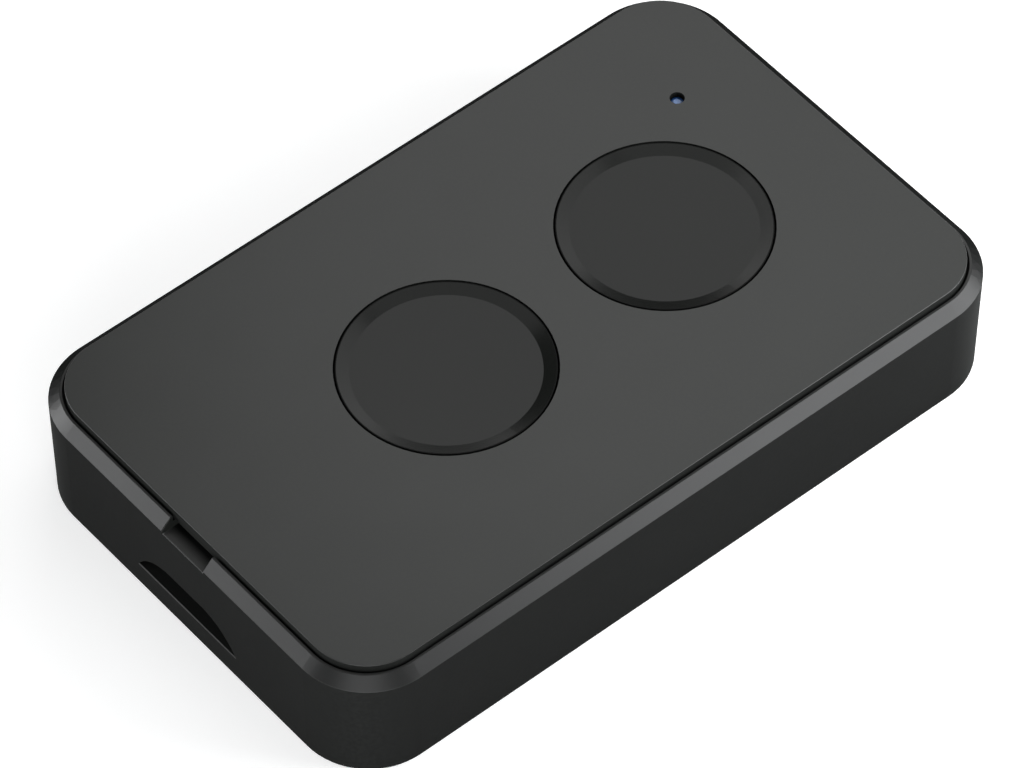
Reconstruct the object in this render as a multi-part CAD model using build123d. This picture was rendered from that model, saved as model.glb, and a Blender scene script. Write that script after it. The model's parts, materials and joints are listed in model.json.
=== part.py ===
from build123d import *

import math
import os

# Gate remote control, lying on its back. Millimetres: X across, Y along, Z up.
# The origin is the middle of the back. The end with the lanyard slot faces -Y.

# Case outline
case_length = 58.0
case_width = 36.1
case_corner_radius = 5.5
shoulder_height = 8.77
wall_draft = 0.15
base_edge_radius = 0.2
rim_bevel = 0.8
rim_flat = 0.17
rim_edge_radius = 0.05
wall_thickness = 2.0
floor_thickness = 1.2

# Front cover
cover_thickness = 1.0
cover_stand = 0.53
cover_gap = 0.19
cover_edge_radius = 0.05
lip_thickness = 0.7
lip_height = 0.8
lip_gap = 0.15
side_lip_length = 34.0
end_lip_length = 15.0

# Pegs of the cover and their bosses in the corners of the case
peg_radius = 1.0
peg_length = 2.5
peg_gap = 0.05
peg_tip_chamfer = 0.25
boss_wall = 0.75
boss_top_gap = 0.1
boss_corner_shift = 1.45

# Pry notch in the rim
notch_width = 4.35
notch_depth = 1.45
notch_drop = 1.07
notch_edge_radius = 0.05

# Lanyard slot: in through the end wall, behind a bar, out through the back
slot_width = 10.4
slot_height = 2.16
slot_flat = 3.2
bar_height = 2.24
bar_depth = 2.4
slot_exit_length = 3.0
slot_exit_radius = 0.8
slot_edge_radius = 0.08
slot_exit_edge_radius = 0.4
pocket_wall = 1.0

# Buttons
button_radius = 7.47
button_gap = 0.15
button_spacing = 19.35
upper_button_inset = 16.03
button_travel = 0.3
dish_radius = 6.52
dish_depth = 0.29
button_rim = 0.07
button_skin = 0.7
flange_radius = 8.4
flange_thickness = 0.45
stem_radius = 1.5
rib_thickness = 0.7

# Retainer staked under the cover
collar_gap = 0.3
collar_wall = 0.7
retainer_gap = 0.05
retainer_thickness = 0.5
retainer_hole_radius = 7.0
retainer_margin = 0.2
retainer_arm = 3.4
stake_radius = 0.6
stake_gap = 0.05
stake_head_radius = 1.0
stake_head_height = 0.3
stake_offset = 1.5
stake_land = 1.4
middle_stake_offset = 6.2

# Status light
led_offset = -8.2
led_inset = 7.8
led_hole_radius = 0.535
pipe_gap = 0.035
pipe_sink = 0.38
pipe_collar_radius = 1.1
pipe_collar_height = 0.6
pipe_stem_radius = 0.7
pipe_tip_radius = 0.15
led_length = 1.6
led_width = 0.8
led_base_height = 0.3
led_lens_height = 0.35
led_lens_length = 1.0
led_to_pipe = 0.35

# Coin cell, 20 mm across and 3.2 mm thick, with its contacts
cell_radius = 10.0
cell_thickness = 3.2
cell_cap_radius = 8.6
cell_skin = 0.25
cell_seal_thickness = 0.5
cell_cap_rise = 0.25
cell_cap_edge_radius = 0.2
cell_can_edge_radius = 0.24
cell_end_gap = 3.6
clip_floor_gap = 0.05
clip_thickness = 0.3
clip_width = 7.0
clip_side_gap = 0.15
clip_foot = 1.5
contact_height = 0.55
contact_thickness = 0.2
contact_width = 4.0
contact_pad = 4.0
contact_reach = 4.5
contact_foot = 1.0

# Circuit board
board_thickness = 0.8
board_gap = 0.3
board_corner_radius = 3.2
post_radius = 1.8
post_side_gap = 1.25
lower_post_inset = 8.0
upper_post_inset = 19.0
pilot_radius = 0.72
screw_radius = 0.7
screw_length = 3.5
screw_head_radius = 1.4
screw_head_height = 0.8
screw_head_edge_radius = 0.27
screw_cross_width = 0.35
screw_cross_depth = 0.45
screw_cross_reach = 0.9
screw_hole_radius = 0.9
locating_pin_radius = 0.5
locating_pin_rise = 0.3
locating_hole_radius = 0.6

# Push switches
switch_side = 5.2
switch_base_height = 1.1
switch_frame_thickness = 0.2
switch_frame_width = 4.2
switch_leg_width = 3.0
switch_leg_height = 0.8
switch_well_radius = 1.75
switch_well_depth = 0.6
plunger_radius = 1.0
plunger_gap = 0.15
plunger_stand = 0.5
plunger_flange_radius = 1.5
plunger_flange_thickness = 0.2
dome_radius = 1.6
dome_thickness = 0.08
dome_gap = 0.02
terminal_width = 0.7
terminal_thickness = 0.15
terminal_reach = 0.8
terminal_rise = 0.5
terminal_spread = 1.9

# Chips, crystal and aerial
lower_chip_inset = 6.1
lower_chip_length = 4.9
lower_chip_width = 3.9
lower_chip_height = 1.45
lower_chip_lead_count = 4
lower_chip_pitch = 1.27
lower_lead_width = 0.42
radio_chip_inset = 8.2
radio_chip_side_inset = 4.85
radio_chip_length = 3.0
radio_chip_width = 3.0
radio_chip_height = 0.85
radio_chip_lead_count = 5
radio_chip_pitch = 0.5
radio_lead_width = 0.22
lead_thickness = 0.15
lead_reach = 0.9
lead_foot = 0.6
chip_stand = 0.1
crystal_inset = 4.3
crystal_offset = -0.4
crystal_length = 3.2
crystal_width = 2.5
crystal_base_height = 0.5
crystal_lid_height = 0.25
crystal_lid_margin = 0.15
antenna_width = 1.0
antenna_thickness = 0.1
antenna_side_inset = 2.35
antenna_end_inset = 1.3
antenna_corner = 5.0
antenna_bend_radius = 1.5
antenna_start_inset = 15.7

# Small surface-mounted parts
chip_part_length = 1.6
chip_part_width = 0.8
chip_part_end = 0.3
capacitor_height = 0.8
resistor_height = 0.45
beside_lower_chip = 2.95
beside_radio_chip = 2.5
beside_antenna = 2.4
beside_switch = 3.4
beside_led = 2.4
middle_part_spread = 3.0
lower_part_spread = 1.1

# Heights that follow from the sizes above
rim_top = shoulder_height + rim_bevel
cover_top = rim_top + cover_stand
cover_bottom = cover_top - cover_thickness
clip_bottom = floor_thickness + clip_floor_gap
cell_bottom = clip_bottom + clip_thickness
cell_top = cell_bottom + cell_thickness
board_bottom = cell_top + contact_height
board_top = board_bottom + board_thickness
switch_base_top = board_top + switch_base_height
switch_top = switch_base_top + switch_frame_thickness
plunger_top = switch_top + plunger_stand
flange_bottom = cover_bottom - flange_thickness
retainer_top = flange_bottom - button_travel - retainer_gap
retainer_bottom = retainer_top - retainer_thickness
slot_top = bar_height + slot_height
led_top = board_top + led_base_height + led_lens_height

# Places that follow from the sizes above
end_y = case_length / 2
cavity_x = case_width / 2 - wall_thickness
cavity_y = end_y - wall_thickness
cavity_corner_radius = case_corner_radius - wall_thickness
rim_inset = rim_bevel + rim_flat
cover_inset = rim_inset + cover_gap
board_x = cavity_x - board_gap
board_y = cavity_y - board_gap
bar_end = -end_y + bar_depth
slot_end = bar_end + slot_exit_length
pocket_end = slot_end + pocket_wall
cell_y = pocket_end + cell_end_gap + cell_radius
upper_y = end_y - upper_button_inset
lower_y = upper_y - button_spacing
buttons = {"upper": upper_y, "lower": lower_y}
led_y = end_y - led_inset
collar_inner = flange_radius + collar_gap
collar_outer = collar_inner + collar_wall
boss_radius = peg_radius + peg_gap + boss_wall
boss_x = cavity_x - cavity_corner_radius + boss_corner_shift
boss_y = cavity_y - cavity_corner_radius + boss_corner_shift
boss_places = [(sx * boss_x, sy * boss_y) for sx in (-1, 1) for sy in (-1, 1)]
post_x = cavity_x - post_side_gap - post_radius
lower_post_y = -cavity_y + lower_post_inset
upper_post_y = cavity_y - upper_post_inset
screw_places = [(-post_x, lower_post_y), (post_x, upper_post_y)]
locating_places = [(post_x, lower_post_y), (-post_x, upper_post_y)]
lower_chip_y = -board_y + lower_chip_inset
radio_chip_x = board_x - radio_chip_side_inset
radio_chip_y = board_y - radio_chip_inset
crystal_y = board_y - crystal_inset
outside = 2.0
sliver = 0.001


def block(low, high):
    """A box between two opposite corners."""
    size = [b - a for a, b in zip(low, high)]
    middle = [(a + b) / 2 for a, b in zip(low, high)]
    return Pos(*middle) * Box(*size)


def rod(x, y, radius, low, high):
    """An upright cylinder between two heights."""
    upright = (Align.CENTER, Align.CENTER, Align.MIN)
    return Pos(x, y, low) * Cylinder(radius, high - low, align=upright)


def ring(x, y, inner, outer, low, high):
    """An upright tube between two heights."""
    return rod(x, y, outer, low, high) - rod(x, y, inner, low - outside, high + outside)


def case_slab(inset, low, high, taper=0.0):
    """The case's outline, moved inwards by an inset, between two heights."""
    width = case_width - 2 * inset
    length = case_length - 2 * inset
    outline = RectangleRounded(width, length, case_corner_radius - inset)
    return Pos(0, 0, low) * extrude(outline, high - low, taper=taper)


def edges_at(shape, height):
    """The level edges of a shape at one height."""
    return shape.edges().filter_by_position(Axis.Z, height - sliver, height + sliver)


def turned(points):
    """A solid of revolution about Z from points of radius and height."""
    profile = Plane.XZ * make_face(Polyline(*points, close=True))
    return revolve(profile, Axis.Z)


def group(solids):
    """Separate solids kept together in one node."""
    return Compound(children=[s for shape in solids for s in shape.solids()])


# Rear shell


def case_outside():
    """Drafted walls up to the shoulder, then the rim's bevel."""
    draft = math.degrees(math.atan(wall_draft / shoulder_height))
    body = case_slab(wall_draft, 0, shoulder_height, -draft)
    body += case_slab(0, shoulder_height, rim_top, 45)
    body = fillet(body.edges().group_by(Axis.Z)[0], base_edge_radius)
    body = fillet(edges_at(body, shoulder_height), rim_edge_radius)
    return fillet(body.edges().group_by(Axis.Z)[-1], rim_edge_radius)


def lanyard_pocket():
    """The block inside the end wall that walls the slot off from the circuit."""
    half = slot_width / 2 + pocket_wall
    low = (-half, -cavity_y - wall_thickness / 2, floor_thickness / 2)
    return block(low, (half, pocket_end, board_bottom))


def lanyard_slot():
    """The arched tunnel in the end wall and the way out through the back."""
    half = slot_width / 2
    flat = slot_flat / 2
    arch = (
        Line((-half, bar_height), (half, bar_height))
        + TangentArc((flat, slot_top), (half, bar_height), tangent=(1, 0))
        + Line((flat, slot_top), (-flat, slot_top))
        + TangentArc((-flat, slot_top), (-half, bar_height), tangent=(-1, 0))
    )
    face = Plane((0, slot_end, 0), x_dir=(1, 0, 0), z_dir=(0, -1, 0)) * make_face(arch)
    tunnel = extrude(face, slot_end + end_y + outside)
    exit_outline = RectangleRounded(slot_width, slot_exit_length, slot_exit_radius)
    way_out = extrude(exit_outline, bar_height + outside)
    return tunnel + Pos(0, (bar_end + slot_end) / 2, -outside) * way_out


def pry_notch():
    """The break in the rim where a blade lifts the cover."""
    half = notch_width / 2
    low = (-half, -end_y - outside, rim_top - notch_drop)
    return block(low, (half, -end_y + notch_depth, rim_top + outside))


def slot_mouth_edges(shell):
    """The straight edge under the slot's mouth."""
    level = edges_at(shell, bar_height)
    return level.filter_by(Axis.X).group_by(Axis.Y)[0]


def slot_exit_edges(shell):
    """The edges round the slot's way out, on the flat of the back."""
    flat = edges_at(shell, 0)
    middle = bar_end + slot_exit_length / 2
    reach = slot_exit_length / 2 + sliver
    return flat.filter_by_position(Axis.Y, middle - reach, middle + reach)


def notch_edges(shell):
    """The front edge of the notch's floor and the edges that lead up from it."""
    low = rim_top - notch_drop
    half = notch_width / 2
    near = shell.edges().filter_by_position(Axis.X, -half - sliver, half + sliver)
    near = near.filter_by_position(Axis.Z, low - sliver, rim_top + sliver)
    return near.filter_by_position(Axis.Y, -end_y - sliver, rim_bevel - end_y + sliver)


def rear_shell():
    shell = case_outside()
    shell -= case_slab(wall_thickness, floor_thickness, rim_top + outside)
    shell -= case_slab(rim_inset, cover_bottom, rim_top + outside)
    root = floor_thickness / 2
    for x, y in boss_places:
        shell += rod(x, y, boss_radius, root, cover_bottom - boss_top_gap)
    for x, y in screw_places + locating_places:
        shell += rod(x, y, post_radius, root, board_bottom)
    for x, y in locating_places:
        shell += rod(x, y, locating_pin_radius, root, board_top + locating_pin_rise)
    shell += lanyard_pocket()
    for x, y in boss_places:
        bore_bottom = cover_bottom - peg_length - boss_top_gap
        shell -= rod(x, y, peg_radius + peg_gap, bore_bottom, rim_top)
    for x, y in screw_places:
        shell -= rod(x, y, pilot_radius, floor_thickness, board_bottom + outside)
    shell -= lanyard_slot()
    shell = fillet(slot_mouth_edges(shell), slot_edge_radius)
    shell = fillet(slot_exit_edges(shell), slot_exit_edge_radius)
    shell -= pry_notch()
    return fillet(notch_edges(shell), notch_edge_radius)


# Front cover and what it carries


def stake_places():
    """Two stakes beside each button and two between the buttons."""
    beside = [(side * (collar_outer + stake_offset), y) for y in buttons.values() for side in (-1, 1)]
    middle_y = (upper_y + lower_y) / 2
    return beside + [(side * middle_stake_offset, middle_y) for side in (-1, 1)]


def cover_lips():
    """Straight ribs that centre the cover between the case walls."""
    outer_x = cavity_x - lip_gap
    outer_y = cavity_y - lip_gap
    low = cover_bottom - lip_height
    lips = []
    for side in (-1, 1):
        x_edges = sorted((side * outer_x, side * (outer_x - lip_thickness)))
        y_edges = sorted((side * outer_y, side * (outer_y - lip_thickness)))
        half_side = side_lip_length / 2
        half_end = end_lip_length / 2
        lips.append(block((x_edges[0], -half_side, low), (x_edges[1], half_side, cover_bottom)))
        lips.append(block((-half_end, y_edges[0], low), (half_end, y_edges[1], cover_bottom)))
    return lips


def cover_peg(x, y):
    """A round peg with a chamfered tip."""
    peg = rod(x, y, peg_radius, cover_bottom - peg_length, cover_bottom)
    return chamfer(peg.edges().group_by(Axis.Z)[0], peg_tip_chamfer)


def retainer_stake(x, y):
    """A pin through the retainer with its tip melted into a head."""
    pin = rod(x, y, stake_radius, retainer_bottom, cover_bottom)
    spacer = rod(x, y, stake_head_radius, retainer_top, cover_bottom)
    head = rod(x, y, stake_head_radius, retainer_bottom - stake_head_height, retainer_bottom)
    return pin + spacer + head


def front_cover():
    cover = case_slab(cover_inset, cover_bottom, cover_top)
    cover = fillet(cover.edges().group_by(Axis.Z)[-1], cover_edge_radius)
    for y in buttons.values():
        cover += ring(0, y, collar_inner, collar_outer, retainer_top, cover_bottom)
    for lip in cover_lips():
        cover += lip
    for x, y in boss_places:
        cover += cover_peg(x, y)
    for x, y in stake_places():
        cover += retainer_stake(x, y)
    for y in buttons.values():
        cover -= rod(0, y, button_radius + button_gap, cover_bottom - outside, cover_top + outside)
    return cover - rod(led_offset, led_y, led_hole_radius, cover_bottom, cover_top + outside)


def button_retainer():
    """A thin plate under the collars with a hole for each cap's stem."""
    arm_x = collar_outer + stake_offset + stake_land
    arm_y = retainer_arm / 2
    plate = block((-arm_x, lower_y - arm_y, retainer_bottom), (arm_x, upper_y + arm_y, retainer_top))
    for y in buttons.values():
        plate += rod(0, y, collar_outer + retainer_margin, retainer_bottom, retainer_top)
    for y in buttons.values():
        plate -= rod(0, y, retainer_hole_radius, retainer_bottom - outside, retainer_top + outside)
    for x, y in stake_places():
        plate -= rod(x, y, stake_radius + stake_gap, retainer_bottom - outside, retainer_top + outside)
    return plate


def button_cap(y):
    """A dished cap with a flange under the cover and a stem down to its switch."""
    dish = cover_top - dish_depth
    ceiling = dish - button_skin
    inner = button_radius - button_skin
    cap = turned([
        (0, dish),
        (dish_radius, dish),
        (button_radius - button_rim, cover_top),
        (button_radius, cover_top),
        (button_radius, cover_bottom),
        (flange_radius, cover_bottom),
        (flange_radius, flange_bottom),
        (inner, flange_bottom),
        (inner, ceiling),
        (stem_radius, ceiling),
        (stem_radius, plunger_top),
        (0, plunger_top),
    ])
    half = rib_thickness / 2
    reach = inner + button_skin / 2
    rib = block((stem_radius - half, -half, flange_bottom), (reach, half, ceiling))
    for angle in (0, 90, 180, 270):
        cap += Rot(0, 0, angle) * rib
    return Pos(0, y, 0) * cap


def light_pipe():
    """A clear plug in the pinhole, reaching down to the light on the board."""
    tip_radius = led_hole_radius - pipe_gap
    collar_bottom = cover_bottom - pipe_collar_height
    tip = rod(led_offset, led_y, tip_radius, collar_bottom, cover_top - pipe_sink)
    tip = fillet(tip.edges().group_by(Axis.Z)[-1], pipe_tip_radius)
    collar = rod(led_offset, led_y, pipe_collar_radius, collar_bottom, cover_bottom)
    return tip + collar + rod(led_offset, led_y, pipe_stem_radius, led_top + led_to_pipe, collar_bottom)


# Circuit board and its fastening


def circuit_board():
    outline = RectangleRounded(2 * board_x, 2 * board_y, board_corner_radius)
    board = Pos(0, 0, board_bottom) * extrude(outline, board_thickness)
    low = board_bottom - outside
    high = board_top + outside
    for x, y in boss_places:
        board -= rod(x, y, boss_radius + board_gap, low, high)
        corner = (math.copysign(board_x + outside, x), math.copysign(board_y + outside, y))
        x_edges = sorted((x, corner[0]))
        y_edges = sorted((y, corner[1]))
        board -= block((x_edges[0], y_edges[0], low), (x_edges[1], y_edges[1], high))
    for x, y in screw_places:
        board -= rod(x, y, screw_hole_radius, low, high)
    for x, y in locating_places:
        board -= rod(x, y, locating_hole_radius, low, high)
    return board


def board_screw(x, y):
    """A self-tapping screw, its thread left plain, with a cross recess."""
    head_top = board_top + screw_head_height
    screw = rod(x, y, screw_head_radius, board_top, head_top)
    screw = fillet(screw.edges().group_by(Axis.Z)[-1], screw_head_edge_radius)
    screw += rod(x, y, screw_radius, board_top - screw_length, board_top)
    half = screw_cross_width / 2
    arm = screw_cross_reach
    floor = head_top - screw_cross_depth
    screw -= block((x - arm, y - half, floor), (x + arm, y + half, head_top + outside))
    return screw - block((x - half, y - arm, floor), (x + half, y + arm, head_top + outside))


# Push switches


def switch_base(y):
    half = switch_side / 2
    base = block((-half, y - half, board_top), (half, y + half, switch_base_top))
    well_floor = switch_base_top - switch_well_depth
    return base - rod(0, y, switch_well_radius, well_floor, switch_base_top + outside)


def switch_frame(y):
    """A steel plate over the base with a leg folded down on two sides."""
    reach = switch_side / 2 + switch_frame_thickness
    half_y = switch_frame_width / 2
    frame = block((-reach, y - half_y, switch_base_top), (reach, y + half_y, switch_top))
    half_leg = switch_leg_width / 2
    foot = switch_base_top - switch_leg_height
    for x in (-reach, switch_side / 2):
        frame += block((x, y - half_leg, foot), (x + switch_frame_thickness, y + half_leg, switch_top))
    return frame - rod(0, y, plunger_radius + plunger_gap, switch_base_top - outside, switch_top + outside)


def switch_plunger(y):
    flange = rod(0, y, plunger_flange_radius, switch_base_top - plunger_flange_thickness, switch_base_top)
    return flange + rod(0, y, plunger_radius, switch_base_top, plunger_top)


def switch_dome(y):
    """The snap dome: a thin spherical cap standing in the switch's well."""
    rise = switch_well_depth - plunger_flange_thickness - dome_gap
    sphere_radius = (dome_radius**2 + rise**2) / (2 * rise)
    well_floor = switch_base_top - switch_well_depth
    centre = Pos(0, y, well_floor + rise - sphere_radius)
    shell = centre * Sphere(sphere_radius) - centre * Sphere(sphere_radius - dome_thickness)
    return shell & rod(0, y, dome_radius, well_floor, switch_base_top)


def switch_terminals():
    """Four soldered feet on each switch."""
    feet = []
    edge = switch_side / 2
    for y in buttons.values():
        for x in (-terminal_spread, terminal_spread):
            for side in (-1, 1):
                left = x - terminal_width / 2
                right = x + terminal_width / 2
                ys = sorted((y + side * edge, y + side * (edge + terminal_reach)))
                foot = block((left, ys[0], board_top), (right, ys[1], board_top + terminal_thickness))
                ys = sorted((y + side * edge, y + side * (edge + terminal_thickness)))
                leg = block((left, ys[0], board_top), (right, ys[1], board_top + terminal_rise))
                feet.append(foot + leg)
    return group(feet)


# Coin cell and contacts


def cell_can():
    """The positive cup, open towards the board."""
    can = rod(0, cell_y, cell_radius, cell_bottom, cell_top - cell_cap_rise)
    can = fillet(can.edges().group_by(Axis.Z)[0], cell_can_edge_radius)
    return can - rod(0, cell_y, cell_radius - cell_skin, cell_bottom + cell_skin, cell_top)


def cell_seal():
    """The plastic ring between the cup and the cap."""
    outer = cell_radius - cell_skin
    inner = outer - cell_seal_thickness
    return ring(0, cell_y, inner, outer, cell_bottom + cell_skin, cell_top - cell_cap_rise)


def cell_cap():
    """The negative cap, with the cell's filling as one solid inside it."""
    inner = cell_radius - cell_skin - cell_seal_thickness
    body = rod(0, cell_y, inner, cell_bottom + cell_skin, cell_top - cell_cap_rise)
    crown = rod(0, cell_y, cell_cap_radius, cell_top - cell_cap_rise, cell_top)
    crown = fillet(crown.edges().group_by(Axis.Z)[-1], cell_cap_edge_radius)
    return body + crown


def battery_clip():
    """A strap under the cell whose two sides rise to feet on the board."""
    inner = cell_radius + clip_side_gap
    outer = inner + clip_thickness
    foot_top = board_bottom
    half = clip_width / 2
    low_y = cell_y - half
    high_y = cell_y + half
    clip = block((-outer, low_y, clip_bottom), (outer, high_y, cell_bottom))
    for side in (-1, 1):
        legs = sorted((side * inner, side * outer))
        feet = sorted((side * inner, side * (outer + clip_foot)))
        clip += block((legs[0], low_y, clip_bottom), (legs[1], high_y, foot_top))
        clip += block((feet[0], low_y, foot_top - clip_thickness), (feet[1], high_y, foot_top))
    return clip


def battery_contact():
    """A bent leaf from the board down to the cell's negative cap."""
    pad = contact_pad / 2
    knee = pad + contact_reach - contact_foot
    toe = pad + contact_reach
    points = [
        (-pad, board_bottom),
        (pad, board_bottom),
        (knee, cell_top + contact_thickness),
        (toe, cell_top + contact_thickness),
        (toe, cell_top),
        (knee, cell_top),
        (pad, board_bottom - contact_thickness),
        (-pad, board_bottom - contact_thickness),
    ]
    profile = make_face(Polyline(*points, close=True))
    start = Plane((0, cell_y + contact_width / 2, 0), x_dir=(1, 0, 0), z_dir=(0, -1, 0))
    return extrude(start * profile, contact_width)


# Chips and small parts on the board


def chip_body(x, y, length, width, height):
    low = (x - length / 2, y - width / 2, board_top + chip_stand)
    return block(low, (x + length / 2, y + width / 2, board_top + chip_stand + height))


def chip_leads(x, y, width, height, count, pitch, lead_width):
    """Bent leads along both long sides of a chip."""
    shoulder = chip_stand + height / 2
    outer = lead_reach - lead_foot + lead_thickness
    points = [
        (0, shoulder),
        (outer, shoulder),
        (outer, lead_thickness),
        (lead_reach, lead_thickness),
        (lead_reach, 0),
        (outer - lead_thickness, 0),
        (outer - lead_thickness, shoulder - lead_thickness),
        (0, shoulder - lead_thickness),
    ]
    profile = make_face(Polyline(*points, close=True))
    leads = []
    for side in (-1, 1):
        for index in range(count):
            centre = x + (index - (count - 1) / 2) * pitch
            start = Plane(
                (centre - side * lead_width / 2, y + side * width / 2, board_top),
                x_dir=(0, side, 0),
                z_dir=(side, 0, 0),
            )
            leads.append(extrude(start * profile, lead_width))
    return group(leads)


def crystal():
    """A ceramic tray and its metal lid."""
    half_x = crystal_length / 2
    half_y = crystal_width / 2
    middle = board_top + crystal_base_height
    tray = block(
        (crystal_offset - half_x, crystal_y - half_y, board_top),
        (crystal_offset + half_x, crystal_y + half_y, middle),
    )
    half_x -= crystal_lid_margin
    half_y -= crystal_lid_margin
    lid = block(
        (crystal_offset - half_x, crystal_y - half_y, middle),
        (crystal_offset + half_x, crystal_y + half_y, middle + crystal_lid_height),
    )
    return tray, lid


def loop_antenna():
    """A flat copper loop round the upper end of the board."""
    side = board_x - antenna_side_inset
    end = board_y - antenna_end_inset
    start = board_y - antenna_start_inset
    path = FilletPolyline(
        (side, start),
        (side, end - antenna_corner),
        (side - antenna_corner, end),
        (antenna_corner - side, end),
        (-side, end - antenna_corner),
        (-side, start),
        radius=antenna_bend_radius,
    )
    return Pos(0, 0, board_top) * extrude(trace(path, antenna_width), antenna_thickness)


def status_led():
    """The light's body, and the clear lens on it."""
    half_x = led_length / 2
    half_y = led_width / 2
    middle = board_top + led_base_height
    body = block(
        (led_offset - half_x, led_y - half_y, board_top),
        (led_offset + half_x, led_y + half_y, middle),
    )
    half_x = led_lens_length / 2
    lens = block(
        (led_offset - half_x, led_y - half_y, middle),
        (led_offset + half_x, led_y + half_y, led_top),
    )
    return body, lens


def beside_lower():
    """Two rows, one above the other, on each side of the lower chip."""
    x = lower_chip_length / 2 + beside_lower_chip
    return x, (lower_chip_y - lower_part_spread, lower_chip_y + lower_part_spread)


def capacitor_places():
    """Right of the lower chip, left of the radio chip, inside the aerial's ends and mid-way."""
    x, rows = beside_lower()
    antenna_x = board_x - antenna_side_inset - beside_antenna
    antenna_y = board_y - antenna_start_inset
    radio_x = radio_chip_x - radio_chip_length / 2 - beside_radio_chip
    middle_y = (upper_y + lower_y) / 2
    places = [(x, y) for y in rows] + [(radio_x, radio_chip_y)]
    places += [(side * antenna_x, antenna_y) for side in (-1, 1)]
    return places + [(side * middle_part_spread, middle_y) for side in (-1, 1)]


def resistor_places():
    """Left of the lower chip and of the switches, beside the light and between the buttons."""
    x, rows = beside_lower()
    switch_x = -switch_side / 2 - beside_switch
    led_x = led_offset + led_length / 2 + beside_led
    places = [(-x, y) for y in rows] + [(switch_x, y) for y in buttons.values()]
    return places + [(led_x, led_y), (0, (upper_y + lower_y) / 2)]


def small_parts(places, height):
    """Ceramic bodies, each left short of the length by its two metal ends."""
    half_x = chip_part_length / 2 - chip_part_end
    half_y = chip_part_width / 2
    top = board_top + height
    return group(
        block((x - half_x, y - half_y, board_top), (x + half_x, y + half_y, top)) for x, y in places
    )


def small_part_ends():
    """The metal ends of every capacitor and resistor."""
    ends = []
    half_x = chip_part_length / 2
    half_y = chip_part_width / 2
    for places, height in ((capacitor_places(), capacitor_height), (resistor_places(), resistor_height)):
        top = board_top + height
        for x, y in places:
            for side in (-1, 1):
                xs = sorted((x + side * half_x, x + side * (half_x - chip_part_end)))
                ends.append(block((xs[0], y - half_y, board_top), (xs[1], y + half_y, top)))
    return group(ends)


def switch_parts(name, y):
    """One button's cap and the switch below it."""
    return {
        f"{name}_button": button_cap(y),
        f"{name}_switch_base": switch_base(y),
        f"{name}_switch_frame": switch_frame(y),
        f"{name}_switch_plunger": switch_plunger(y),
        f"{name}_switch_dome": switch_dome(y),
    }


def chip_parts():
    """The controller, the radio chip, the crystal and the light."""
    crystal_base, crystal_lid = crystal()
    led_body, led_lens = status_led()
    lower = (0, lower_chip_y)
    radio = (radio_chip_x, radio_chip_y)
    return {
        "microcontroller": chip_body(*lower, lower_chip_length, lower_chip_width, lower_chip_height),
        "microcontroller_leads": chip_leads(
            *lower,
            lower_chip_width,
            lower_chip_height,
            lower_chip_lead_count,
            lower_chip_pitch,
            lower_lead_width,
        ),
        "radio_chip": chip_body(*radio, radio_chip_length, radio_chip_width, radio_chip_height),
        "radio_chip_leads": chip_leads(
            *radio,
            radio_chip_width,
            radio_chip_height,
            radio_chip_lead_count,
            radio_chip_pitch,
            radio_lead_width,
        ),
        "crystal_base": crystal_base,
        "crystal_lid": crystal_lid,
        "status_led": led_body,
        "status_led_lens": led_lens,
    }


parts = {
    "rear_shell": rear_shell(),
    "front_cover": front_cover(),
    "button_retainer": button_retainer(),
    "light_pipe": light_pipe(),
    "circuit_board": circuit_board(),
    "board_screws": group(board_screw(x, y) for x, y in screw_places),
    "switch_terminals": switch_terminals(),
    "cell_can": cell_can(),
    "cell_seal": cell_seal(),
    "cell_cap": cell_cap(),
    "battery_clip": battery_clip(),
    "battery_contact": battery_contact(),
    "loop_antenna": loop_antenna(),
    "capacitors": small_parts(capacitor_places(), capacitor_height),
    "resistors": small_parts(resistor_places(), resistor_height),
    "chip_terminals": small_part_ends(),
}
parts.update(chip_parts())
for button_name, button_y in buttons.items():
    parts.update(switch_parts(button_name, button_y))

os.makedirs("parts", exist_ok=True)
for node, shape in parts.items():
    export_step(shape, f"parts/{node}.step")
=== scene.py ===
import json
import math

import bmesh
import bpy
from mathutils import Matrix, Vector


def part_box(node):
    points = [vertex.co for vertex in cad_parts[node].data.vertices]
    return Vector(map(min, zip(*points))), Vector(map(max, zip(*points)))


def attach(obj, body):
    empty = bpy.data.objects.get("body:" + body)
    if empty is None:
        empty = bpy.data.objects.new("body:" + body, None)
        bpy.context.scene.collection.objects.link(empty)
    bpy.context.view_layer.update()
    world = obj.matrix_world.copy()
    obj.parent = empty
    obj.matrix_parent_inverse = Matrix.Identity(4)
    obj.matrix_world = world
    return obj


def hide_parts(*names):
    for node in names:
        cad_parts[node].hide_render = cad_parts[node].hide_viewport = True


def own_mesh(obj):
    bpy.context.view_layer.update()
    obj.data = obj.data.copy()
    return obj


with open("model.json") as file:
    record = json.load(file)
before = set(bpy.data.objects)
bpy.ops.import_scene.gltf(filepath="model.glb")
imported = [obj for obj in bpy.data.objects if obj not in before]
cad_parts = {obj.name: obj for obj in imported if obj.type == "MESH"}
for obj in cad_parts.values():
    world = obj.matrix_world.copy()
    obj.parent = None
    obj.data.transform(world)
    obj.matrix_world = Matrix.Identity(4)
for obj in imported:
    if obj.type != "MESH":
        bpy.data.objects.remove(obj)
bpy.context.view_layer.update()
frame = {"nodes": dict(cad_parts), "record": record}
nodes = frame["nodes"]

MM = 0.001

# Camera, fitted to the photograph: angles in degrees, places in metres, lens and sensor in millimetres
camera_azimuth = 50.0045
camera_elevation = 50.8684
camera_roll = -0.1017
camera_distance = 463.82 * MM
camera_target = Vector((-2.3353, 1.3119, 0.0)) * MM
camera_lens = 237.207
sensor_width = 36.0
clip_near = 0.01
clip_far = 20.0

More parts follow.
